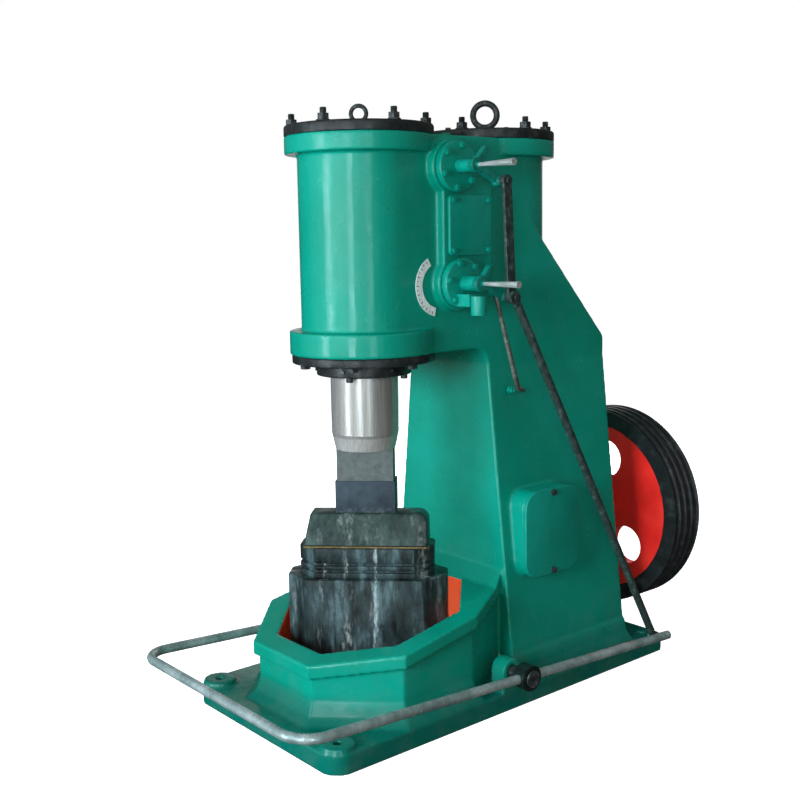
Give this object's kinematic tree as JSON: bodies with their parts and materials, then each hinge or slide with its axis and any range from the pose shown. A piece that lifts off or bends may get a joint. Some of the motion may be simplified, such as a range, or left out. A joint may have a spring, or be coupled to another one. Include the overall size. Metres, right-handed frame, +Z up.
{
  "type": "air forging hammer",
  "caption": "Self-contained air forging hammer: cast frame with two upright cylinders, ram and dies over an anvil in a collar, rotary valve gear, foot treadle and rear flywheel.",
  "frame": {"origin": "foot of the anvil at floor level, on the ram's axis", "axes": "+Z up along the ram, -Y towards the operator, +X towards the valve gear"},
  "size_m": [1.0073, 2.0129, 2.0665],
  "materials": {
    "frame_paint": "glossy teal green enamel on cast iron",
    "black_paint": "satin black paint",
    "ram_steel": "ground and polished steel",
    "die_steel": "dark forged steel",
    "anvil_steel": "oily scuffed forged steel",
    "shim_brass": "dull brass sheet",
    "lever_paint": "teal green enamel, with bare bright tapers on the spindles",
    "bar_steel": "bare drawn steel",
    "dark_steel": "dark painted steel",
    "wheel_paint": "red web with a black grooved rim"
  },
  "bodies": {
    "frame": {"frame_casting": "frame_paint", "front_cylinder_cover": "black_paint", "rear_cylinder_cover": "black_paint", "front_eyebolt": "black_paint", "rear_eyebolt": "black_paint", "gland_plate": "black_paint", "gland_ring": "black_paint", "lower_die": "anvil_steel", "die_shim": "shim_brass", "sow_block": "anvil_steel", "anvil_block": "anvil_steel", "upper_valve_cover": "frame_paint", "lower_valve_cover": "frame_paint", "valve_chest_cover": "frame_paint", "right_pivot_pin": "dark_steel", "left_pivot_pin": "dark_steel", "hatch_cover": "frame_paint", "bearing_cap": "frame_paint", "frame_plug": "bar_steel", "valve_stop": "lever_paint"},
    "ram": {"ram": "ram_steel", "upper_die": "die_steel"},
    "flywheel": {"flywheel": "wheel_paint", "crankshaft": "bar_steel", "shaft_nut": "dark_steel"},
    "treadle": {"treadle": "bar_steel"},
    "pedal_rod": {"pedal_rod": "dark_steel"},
    "lower_lever": {"lower_valve_spindle": "lever_paint", "lower_crank": "lever_paint", "hand_lever": "bar_steel"},
    "upper_lever": {"upper_valve_spindle": "lever_paint", "upper_crank": "lever_paint"},
    "valve_link": {"valve_link": "dark_steel"}
  },
  "joints": [
    {"name": "ram_slide", "type": "slide", "parent": "frame", "child": "ram", "axis": [0, 0, 1], "range_m": [0, 0.33]},
    {"name": "flywheel_spin", "type": "hinge", "parent": "frame", "child": "flywheel", "pos_m": [0, 1.2, 0.49], "axis": [0, 1, 0], "continuous": true},
    {"name": "treadle_pivot", "type": "hinge", "parent": "frame", "child": "treadle", "pos_m": [0, 0.291, 0.137], "axis": [1, 0, 0], "range_deg": [0, 5], "stiffness_Nm_per_rad": 150, "springref_deg": -20.05},
    {"name": "lower_valve_turn", "type": "hinge", "parent": "frame", "child": "lower_lever", "pos_m": [0.334, 0.22, 1.438], "axis": [1, 0, 0], "range_deg": [0, 35.8]},
    {"name": "upper_valve_turn", "type": "hinge", "parent": "frame", "child": "upper_lever", "pos_m": [0.334, 0.2, 1.812], "axis": [1, 0, 0], "range_deg": [0, 35.8]},
    {"name": "link_pivot", "type": "hinge", "parent": "lower_lever", "child": "valve_link", "pos_m": [0.3736, 0.3201, 1.39004], "axis": [1, 0, 0], "range_deg": [-35.8, 0]},
    {"name": "rod_pivot", "type": "hinge", "parent": "treadle", "child": "pedal_rod", "pos_m": [0.445, 0.99882, 0.09619], "axis": [1, 0, 0], "range_deg": [-5.6, 0]}
  ],
  "couplings": [
    {"joint": "lower_valve_turn", "follows": "treadle_pivot", "ratio": 7.159},
    {"joint": "upper_valve_turn", "follows": "treadle_pivot", "ratio": 7.159},
    {"joint": "link_pivot", "follows": "treadle_pivot", "ratio": -7.159},
    {"joint": "rod_pivot", "follows": "treadle_pivot", "ratio": -1.102}
  ]
}
